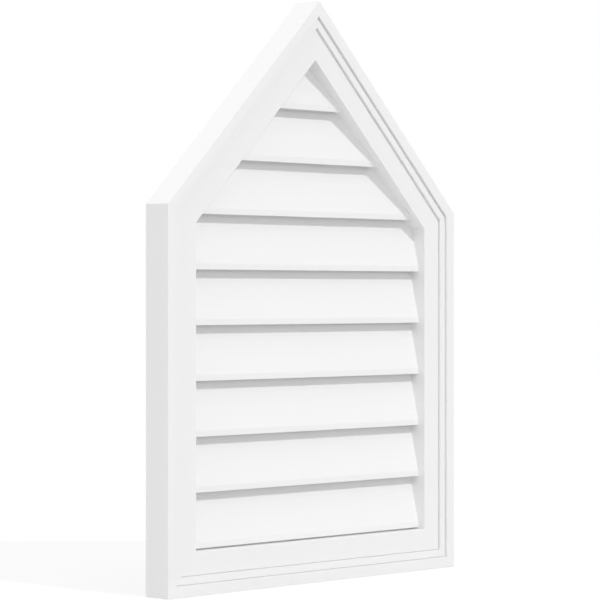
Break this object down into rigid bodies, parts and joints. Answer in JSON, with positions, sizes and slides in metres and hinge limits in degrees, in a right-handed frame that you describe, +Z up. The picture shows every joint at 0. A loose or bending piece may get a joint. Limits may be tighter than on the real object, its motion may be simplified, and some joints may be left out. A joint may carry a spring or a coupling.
{
  "type": "gable vent",
  "caption": "Peaked white gable vent: a stepped mitred frame with steep fixed louvre blades, insect mesh behind them and a flat back for a wall.",
  "frame": {"origin": "middle of the bottom edge of the frame, on the wall plane", "axes": "+X to the right seen from the front, +Y into the wall, +Z up"},
  "size_m": [0.508, 0.0381, 0.7112],
  "materials": {
    "frame": "smooth white cellular PVC",
    "blade": "smooth white cellular PVC",
    "insect_mesh": "charcoal coated aluminium wire",
    "staple": "drawn steel wire"
  },
  "bodies": {
    "root": {"bottom_rail": "frame", "left_stile": "frame", "right_stile": "frame", "left_rake": "frame", "right_rake": "frame", "blade_1": "blade", "blade_2": "blade", "blade_3": "blade", "blade_4": "blade", "blade_5": "blade", "blade_6": "blade", "blade_7": "blade", "blade_8": "blade", "blade_9": "blade", "insect_screen": "insect_mesh", "screen_staples": "staple"}
  },
  "joints": []
}
